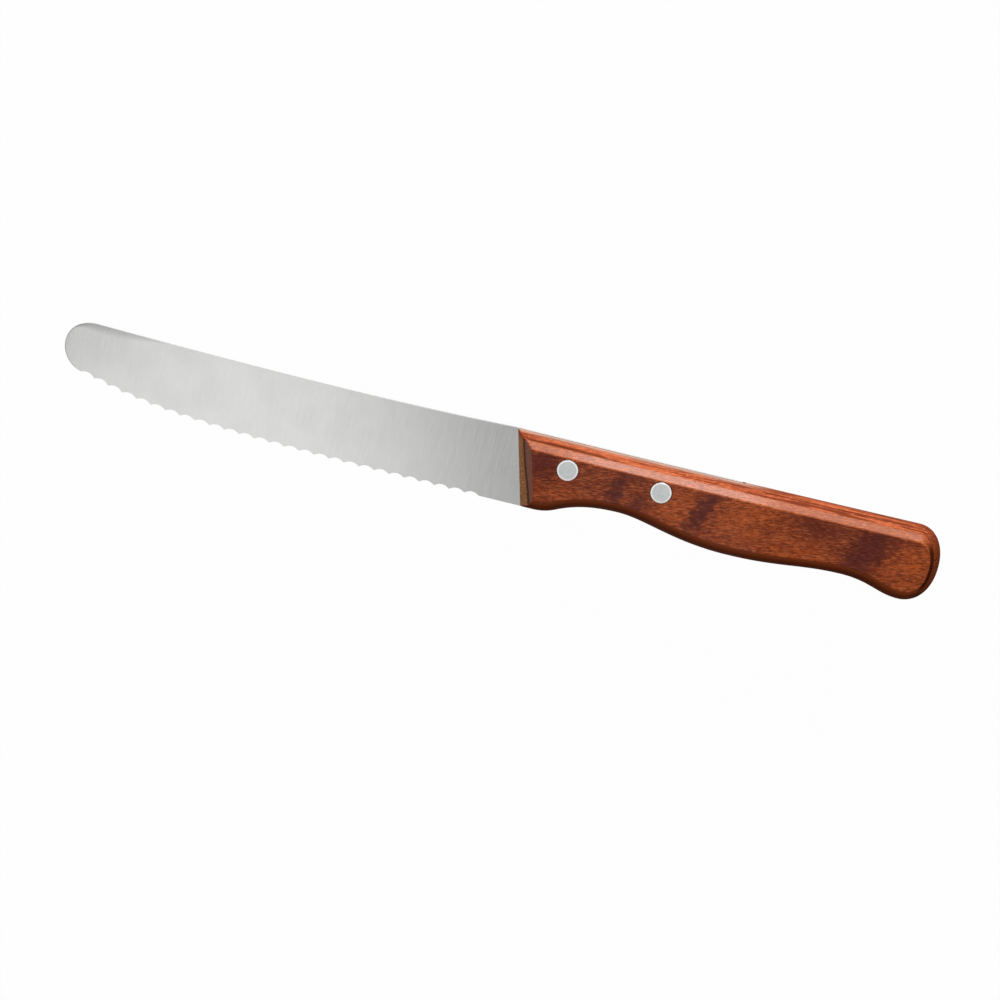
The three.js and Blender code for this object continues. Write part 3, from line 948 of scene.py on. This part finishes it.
rim_lines = drawn_out(tree, place, (15.0, 2.6, 0.8), 0.48, 0.58)
rim_bands = drawn_out(tree, place, (40.0, 6.0, 2.2), 0.35, 0.6)
print(f"flecks lean {np.degrees(GRAIN_LEAN):.0f} degrees to the handle")

# %% [markdown]
# ## Places on the handle
#
# The sander, the saw and the hand leave each part of the handle in another state, and some parts carry
# painted light or shade, so the colours below need masks that say where a point lies. Separate materials on
# chosen faces would give hard borders. These masks fade instead: most ask which way the surface faces, and
# some ask for the distance from the front or from the middle plane. On the front, the chamfer's colour
# reaches farther onto the rim near the top than the chamfer itself, with a dark line along its border, and
# a dark seam runs out from the front along the rim.

# %% Masks
FORWARD, BACK, UP, DOWN = (-1, 0, 0), (1, 0, 0), (0, 1, 0), (0, -1, 0)
UP_AND_OUT = (0, 0.71, 0.71)
FRONT_TOP = (-1.4, -2.0)
FRONT_CHAMFER_RUN = (-17.0, -4.0)
FRONT_CHAMFER_START = (rim_height + 0.3, rim_height - 0.75)
BUTT_CHAMFER_START = (rim_height - 0.1, rim_height + 0.3)
SOFT_BORDER = 0.1
DARK_LINE = (0.6, 0.2)
SEAM_RUN = (2.0, 30.0)
SEAM_HEIGHT = (rim_height - 0.2, rim_height - 1.2)
SEAM_END = (26.0, 12.0)
RIDGE_STRIP_END = (68.0, 54.0)
RIDGE_STRIP_WIDTH = (3.0, 0.8)
RIDGE_STRIP_STRENGTH = 0.65
DARK_RIDGE_START = (54.0, 62.0)
DARK_RIDGE_WIDTH = (2.4, 0.6)
back, up, through = put(tree, "SeparateXYZ", {0: place}).outputs
height = reckon(tree, "ABSOLUTE", through)
rim = faces(tree, UP, 0.72, 0.86)
upper_chamfer = faces(tree, UP_AND_OUT, 0.86, 0.99)
underside = faces(tree, DOWN, 0.4, 0.6)
butt_end = faces(tree, BACK, 0.5, 0.9)
butt_chamfer = times(tree, ramp(tree, height, *BUTT_CHAMFER_START), faces(tree, BACK, 0.5, 0.8))
front = times(tree, ramp(tree, up, *FRONT_TOP), faces(tree, FORWARD, 0.45, 0.7))
chamfer_start = ramp(tree, up, *FRONT_CHAMFER_RUN, *FRONT_CHAMFER_START)
past_start = reckon(tree, "SUBTRACT", height, chamfer_start)
front_chamfer = ramp(tree, past_start, -SOFT_BORDER, SOFT_BORDER)
front_dark_line = ramp(tree, reckon(tree, "ABSOLUTE", past_start), *DARK_LINE)
seam_height = ramp(tree, back, *SEAM_RUN, *SEAM_HEIGHT)
from_seam = reckon(tree, "ABSOLUTE", reckon(tree, "SUBTRACT", height, seam_height))
seam = times(tree, ramp(tree, back, *SEAM_END), ramp(tree, from_seam, *DARK_LINE))
near_ridge = ramp(tree, height, *RIDGE_STRIP_WIDTH, 0.0, RIDGE_STRIP_STRENGTH)
# strip beside the tang: it sets the coat's polish there, and a painted highlight in the colour
polish_and_highlight_strip = times(tree, near_ridge, ramp(tree, back, *RIDGE_STRIP_END))
# the ridge behind the tang's end, which is painted darker
dark_ridge = times(tree, ramp(tree, height, *DARK_RIDGE_WIDTH), ramp(tree, back, *DARK_RIDGE_START))
print("figured_wood so far:", len(tree.nodes), "nodes")

# %% [markdown]
# ## Colours of the sides
#
# The colours go on as a stain would, in layers: plain and warm wood, a mottle, the dark heartwood, a
# painted highlight that makes the upper chamfer paler, and last the flecks, with fewer dark ones on that
# chamfer.
# Mixing each layer over the one below keeps them apart, so one can be changed without the others.

# %% Side colours
PLAIN_WOOD, WARM_WOOD = (120, 51, 28), (170, 79, 34)
MOTTLED_WOOD = (104, 44, 25)
HEARTWOOD = (79, 35, 32)
PAINTED_CHAMFER_HIGHLIGHT = (156, 80, 40)
PALE_FLECK, DARK_FLECK = (192, 108, 66), (66, 24, 15)
WARM_SHARE = 0.75
glow = reckon(tree, "ADD", times(tree, warm, WARM_SHARE), times(tree, broad, 1 - WARM_SHARE))
sides = blend(tree, glow, colour(*PLAIN_WOOD), colour(*WARM_WOOD))
sides = paint(tree, sides, mottle, 0.35, MOTTLED_WOOD)
sides = paint(tree, sides, dark, 0.9, HEARTWOOD)
# painted highlight: the upper chamfer, which faces the lamp, is painted paler
sides = paint(tree, sides, upper_chamfer, 0.75, PAINTED_CHAMFER_HIGHLIGHT)
sides = paint(tree, sides, light_flecks, ramp(tree, dark, 0.0, 0.9, 0.45, 0.1), PALE_FLECK)
# the painted highlight also thins the dark flecks on the upper chamfer
sides = paint(tree, sides, dark_flecks, ramp(tree, upper_chamfer, 0.0, 1.0, 0.6, 0.4), DARK_FLECK)
print("figured_wood with its sides:", len(tree.nodes), "nodes")

# %% [markdown]
# ## Colours of the rim and the ends
#
# Along the ridge, a pale strip beside the steel is a painted highlight, and behind the tang's end the ridge
# is painted darker. The underside is painted darker as shade, most at the rim's edge, and the butt's end
# grain is painted darker as shade, with its chamfer nearly black. The sawn front is end grain too, but
# greyer, because little stain stayed on it, and its chamfer is painted purple-grey and darker as shade.

# %% Rim and end colours
RIM_DARK, RIM_PALE = (130, 60, 36), (166, 86, 55)
RIM_FLECK, RIM_LINE = (218, 124, 79), (84, 34, 20)
RIDGE_PAINTED_HIGHLIGHT = (170, 138, 118)
BUTT_PAINTED_SHADE, BUTT_CHAMFER_SHADE = (62, 30, 14), (60, 23, 10)
UNDERSIDE_RIM_SHADE, UNDERSIDE_CHAMFER_SHADE = (78, 33, 15), (127, 57, 26)
SAWN_DARK, SAWN_PALE = (126, 82, 52), (165, 118, 84)
SAWN_CHAMFER_SHADE, SAWN_FLECK, FRONT_DARK_LINE = (115, 77, 65), (72, 44, 30), (58, 34, 26)
CHAMFER_MARGIN = 0.2
rim_colour = blend(tree, rim_bands, colour(*RIM_DARK), colour(*RIM_PALE))
rim_colour = paint(tree, rim_colour, light_flecks, 0.35, RIM_FLECK)
rim_colour = paint(tree, rim_colour, rim_lines, 0.8, RIM_LINE)
rim_colour = paint(tree, rim_colour, seam, 0.8, RIM_LINE)
# the ridge behind the tang's end is painted darker
rim_colour = paint(tree, rim_colour, dark_ridge, 0.5, RIM_LINE)
# painted highlight: a pale strip along the ridge beside the tang
rim_colour = blend(tree, polish_and_highlight_strip, rim_colour, colour(*RIDGE_PAINTED_HIGHLIGHT))
surface = blend(tree, rim, sides, rim_colour)
# painted shade: the butt end is darker, and its chamfer nearly black
surface = paint(tree, surface, butt_end, 0.3, BUTT_PAINTED_SHADE)
surface = paint(tree, surface, butt_chamfer, 0.9, BUTT_CHAMFER_SHADE)
# painted shade: the underside is darker, most at the rim's edge
across_chamfer = ramp(tree, height, rim_height + CHAMFER_MARGIN, half_handle - CHAMFER_MARGIN)
underside_shade = blend(tree, across_chamfer, colour(*UNDERSIDE_RIM_SHADE), colour(*UNDERSIDE_CHAMFER_SHADE))
surface = blend(tree, times(tree, underside, 0.9), surface, underside_shade)
sawn = blend(tree, light_flecks, colour(*SAWN_DARK), colour(*SAWN_PALE))
# the sawn chamfer: end grain, painted purple-grey and darker as shade
sawn = blend(tree, front_chamfer, sawn, colour(*SAWN_CHAMFER_SHADE))
sawn = paint(tree, sawn, dark_flecks, 0.4, SAWN_FLECK)
# a dark line along the border of the front chamfer's colour
sawn = paint(tree, sawn, front_dark_line, 0.85, FRONT_DARK_LINE)
tree.links.new(blend(tree, front, surface, sawn), shader.inputs["Base Color"])
print("figured_wood with all colours:", len(tree.nodes), "nodes")

# %% [markdown]
# ## Lacquer and pores
#
# A thin lacquer gives the handle a soft sheen. It shines most in the middle, where the hand has polished
# it, and is worn off on the rim, the underside and the sawn front, except on the polished strip beside the
# tang. The sheen could come from the wood's own shader, but a coat over matt wood can vary in weight from
# place to place. The dark flecks are open pores, so they sink in a little.

# %% Lacquer and pores
POLISH = (0.24, 0.32)
SAWN_ROUGHNESS = 0.6
LACQUER = (0.18, 0.4)
HELD_FROM, HELD_TO = (6.0, 26.0), (74.0, 54.0)
WORN_TO = 0.1
STRIP_POLISH = 0.9
COAT_ROUGHNESS = 0.28
PORE_DEPTH = 0.04 * MM
polish = ramp(tree, mottle, 0.0, 1.0, *POLISH)
tree.links.new(either(tree, polish, times(tree, front, SAWN_ROUGHNESS)), shader.inputs["Roughness"])
held = times(tree, ramp(tree, back, *HELD_FROM), ramp(tree, back, *HELD_TO))
lacquer = times(tree, ramp(tree, held, 0.0, 1.0, *LACQUER), faces(tree, BACK, 0.8, 0.3))
worn = either(tree, front, either(tree, rim, underside))
lacquer = times(tree, lacquer, ramp(tree, worn, 0.0, 1.0, 1.0, WORN_TO))
polished_strip = times(tree, rim, ramp(tree, polish_and_highlight_strip, 0.0, 0.5, 0.0, STRIP_POLISH))
tree.links.new(either(tree, lacquer, polished_strip), shader.inputs["Coat Weight"])
shader.inputs["Coat Roughness"].default_value = COAT_ROUGHNESS
shader.inputs["Specular IOR Level"].default_value = 0.0
pores = either(tree, dark_flecks, times(tree, rim, rim_lines))
bump = put(tree, "Bump", {"Strength": 0.2, "Distance": PORE_DEPTH, "Height": pores}, invert=True)
tree.links.new(bump.outputs[0], shader.inputs["Normal"])
print("figured_wood:", len(tree.nodes), "nodes")

# %% [markdown]
# ## Joining the pieces to the model
#
# Each piece takes its material, rides on the model's only body, and stands in for its imported solid.

# %% Pieces, bodies and slots
dressed = {"handle": (handle, wood, "handle_wood"), "blade": (blade, steel, "blade_steel")}
for node_name, rivet in rivets.items():
    dressed[node_name] = (rivet, aluminium, "rivet_aluminium")
for node_name, (piece, material, slot) in dressed.items():
    piece.data.materials.clear()
    piece.data.materials.append(material)
    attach(piece, "root")
    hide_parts(node_name)
print("pieces:", ", ".join(piece.name for piece, _, _ in dressed.values()))

# %% [markdown]
# ## Floor
#
# The knife lies on a pale, plain table. A floor lit to full white would throw too much light up into the
# wood. So the floor is a grey matt surface for the light, and mostly an even white for the camera, with
# just enough of the grey left to keep a faint shadow under the knife. Reflections see a part of the white.

# %% Floor
FLOOR_HALF = 3.0
FLOOR_GREY = 0.35
WHITE_TO_CAMERA = 0.985
WHITE_TO_METAL = 0.7
FLOOR_ROUGHNESS = 0.9
FLOOR_CORNERS = [(-FLOOR_HALF, -FLOOR_HALF, 0), (FLOOR_HALF, -FLOOR_HALF, 0),
                 (FLOOR_HALF, FLOOR_HALF, 0), (-FLOOR_HALF, FLOOR_HALF, 0)]
floor_mesh = bpy.data.meshes.new("floor")
floor_mesh.from_pydata(FLOOR_CORNERS, [], [(0, 1, 2, 3)])
floor = bpy.data.objects.new("floor", floor_mesh)
bpy.context.scene.collection.objects.link(floor)
floor_white, tree, shader = new_material("floor_white")
shader.inputs["Base Color"].default_value = (FLOOR_GREY, FLOOR_GREY, FLOOR_GREY, 1)
shader.inputs["Roughness"].default_value = FLOOR_ROUGHNESS
shader.inputs["Specular IOR Level"].default_value = 0.0


def seen_as_white(tree, to_camera, to_metal):
    """How much of the even white a ray sees, for camera rays and for reflected or refracted rays."""
    rays = put(tree, "LightPath").outputs
    reflected = either(tree, rays["Is Glossy Ray"], rays["Is Transmission Ray"])
    return either(tree, times(tree, rays["Is Camera Ray"], to_camera), times(tree, reflected, to_metal))


even_white = put(tree, "Emission", {"Color": (1, 1, 1, 1), "Strength": 1.0})
mixed = put(tree, "MixShader", {0: seen_as_white(tree, WHITE_TO_CAMERA, WHITE_TO_METAL),
                                1: shader.outputs[0], 2: even_white.outputs[0]})
tree.links.new(mixed.outputs[0], tree.nodes["Material Output"].inputs["Surface"])
floor_mesh.materials.append(floor_white)
print("floor:", 2 * FLOOR_HALF, "m wide")

# %% [markdown]
# ## Lamps
#
# The light comes mainly from the spine's side, low over the table, so the upper chamfer and rim shine
# while the lower ones fall into shade. A small oval panel above the blade gives the steel something bright
# to reflect. It ends before the handle, so the steel darkens towards it and towards the spine. A lamp's
# brightness is given per area, as it looks in a reflection, and its power follows from its size.

# %% Lamps
def softbox(name, shape, place, aim, width, height, radiance):
    lamp = bpy.data.lights.new(name, "AREA")
    lamp.shape = shape
    lamp.size = width
    lamp.size_y = height
    area = width * height * (pi / 4 if shape == "ELLIPSE" else 1)
    lamp.energy = radiance * pi * area
    box = bpy.data.objects.new(name, lamp)
    bpy.context.scene.collection.objects.link(box)
    direction = Vector(aim) - Vector(place)
    box.location = place
    box.rotation_euler = direction.to_track_quat("-Z", "Y").to_euler()
    print(f"{name}: {lamp.energy:.1f} W")


softbox("spine_side_softbox", "RECTANGLE", place=(-0.45, 0.95, 0.24), aim=(-0.45, 0, 0),
        width=1.9, height=0.16, radiance=26.0)
softbox("blade_panel", "ELLIPSE", place=(-0.119, -0.33, 0.8), aim=(-0.119, -0.33, 0),
        width=0.23, height=0.44, radiance=0.67)

# %% [markdown]
# ## Surround
#
# A plain grey surround fills the shadows. In reflections it is grey overhead and pale at the sides, as a
# room with light walls is, so the steel reads as steel from every side. The camera sees it as white, so
# that it runs on into the table without a border.

# %% Surround
OVERHEAD_BAND = (0.92, 0.6)
CEILING, WALLS = 0.38, 0.85
FILL_LIGHT = 0.55
world = bpy.data.worlds.new("surround")
bpy.context.scene.world = world
world.use_nodes = True
tree = world.node_tree
direction = put(tree, "SeparateXYZ", {0: put(tree, "TexCoord").outputs["Generated"]}).outputs
room = ramp(tree, direction["Z"], *OVERHEAD_BAND, CEILING, WALLS)
fill = times(tree, put(tree, "LightPath").outputs["Is Diffuse Ray"], FILL_LIGHT)
level = either(tree, seen_as_white(tree, 1.0, room), fill)
tree.links.new(level, tree.nodes["Background"].inputs["Strength"])
tree.nodes["Background"].inputs["Color"].default_value = (1, 1, 1, 1)
print("surround:", CEILING, "overhead,", WALLS, "at the sides,", FILL_LIGHT, "as fill light")

# %% [markdown]
# ## Camera
#
# The photographer stood almost straight above the knife, a little towards its spine, and turned the
# camera so that the knife runs down to the right. A long lens at more than a metre keeps the
# perspective weak. The camera could be placed by eye, but tilt, roll and distance as named values can be
# fitted one by one.

# %% Camera
CAMERA_TILT = radians(12)
CAMERA_ROLL = radians(13.492)
CAMERA_DISTANCE = 1.2
SENSOR_WIDTH = 36
FOCAL = 4.798
OFF_CENTRE = (0.00018, 0.03818)
towards_camera = Vector((0, sin(CAMERA_TILT), cos(CAMERA_TILT)))
level_right = Vector((1, 0, 0))
level_up = towards_camera.cross(level_right)
camera_right = cos(CAMERA_ROLL) * level_right + sin(CAMERA_ROLL) * level_up
camera_up = cos(CAMERA_ROLL) * level_up - sin(CAMERA_ROLL) * level_right
camera_data = bpy.data.cameras.new("camera")
camera_data.sensor_width = SENSOR_WIDTH
camera_data.lens = FOCAL * SENSOR_WIDTH
camera = bpy.data.objects.new("camera", camera_data)
bpy.context.scene.collection.objects.link(camera)
target = Vector((0, 0, half_handle * MM))
camera.location = (target + CAMERA_DISTANCE * towards_camera
                   - OFF_CENTRE[0] * CAMERA_DISTANCE / FOCAL * camera_right
                   - OFF_CENTRE[1] * CAMERA_DISTANCE / FOCAL * camera_up)
camera.rotation_euler = Matrix((camera_right, camera_up, towards_camera)).transposed().to_euler()
bpy.context.scene.camera = camera
bpy.context.scene.view_settings.view_transform = "Standard"
print("camera at, m:", [round(value, 3) for value in camera.location])
